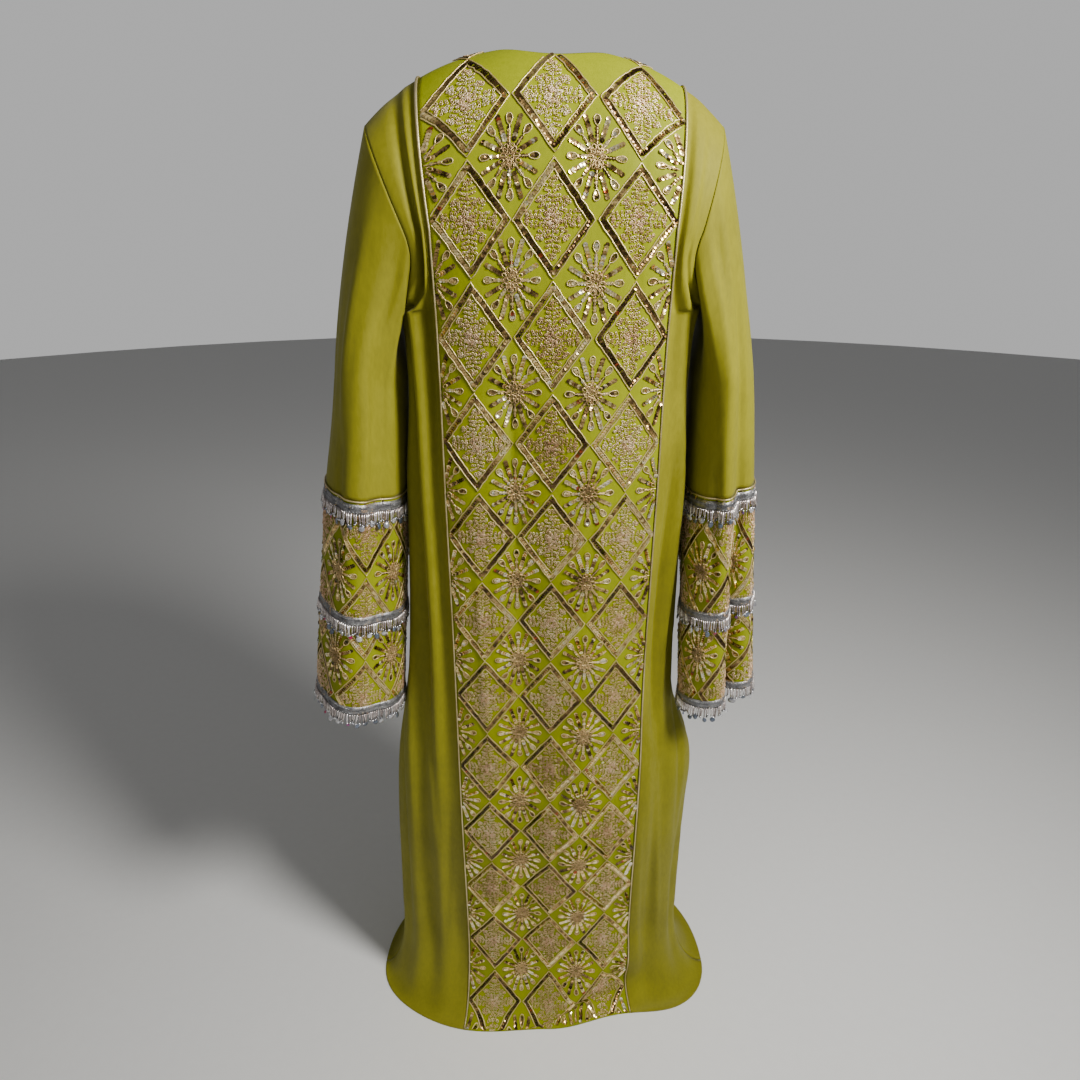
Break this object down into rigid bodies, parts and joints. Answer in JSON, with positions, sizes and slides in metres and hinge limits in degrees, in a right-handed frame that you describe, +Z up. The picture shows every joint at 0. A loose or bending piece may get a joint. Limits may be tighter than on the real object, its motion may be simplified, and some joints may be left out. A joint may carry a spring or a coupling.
{
  "type": "embroidered long dress",
  "caption": "Long crepe dress with an embroidered back panel, deep embroidered cuffs and beaded fringe trims, standing hollow as if worn.",
  "frame": {"origin": "between the shoulders at the neck opening, where the wearer's shoulders or a form carry the dress", "axes": "+Z up towards the neck, -Y the way the back faces, -X towards the wearer's left"},
  "size_m": [0.6574, 0.3506, 1.4406],
  "materials": {
    "crepe": "matt crepe weave with a soft sheen",
    "embroidered_crepe": "crepe covered with gold cord, sequins and looped metallic thread",
    "gold_piping": "metallic thread",
    "beaded_braid": "silver braid with glass beads"
  },
  "bodies": {
    "root": {"back_panel": "embroidered_crepe", "back_left": "crepe", "back_right": "crepe", "front": "crepe", "sleeve_left": "crepe", "sleeve_right": "crepe", "cuff_left": "embroidered_crepe", "cuff_right": "embroidered_crepe", "piping_left": "gold_piping", "piping_right": "gold_piping", "cuff_piping_left": "gold_piping", "cuff_piping_right": "gold_piping", "trim_left_top": "beaded_braid", "trim_left_middle": "beaded_braid", "trim_left_bottom": "beaded_braid", "trim_right_top": "beaded_braid", "trim_right_middle": "beaded_braid", "trim_right_bottom": "beaded_braid"}
  },
  "joints": []
}
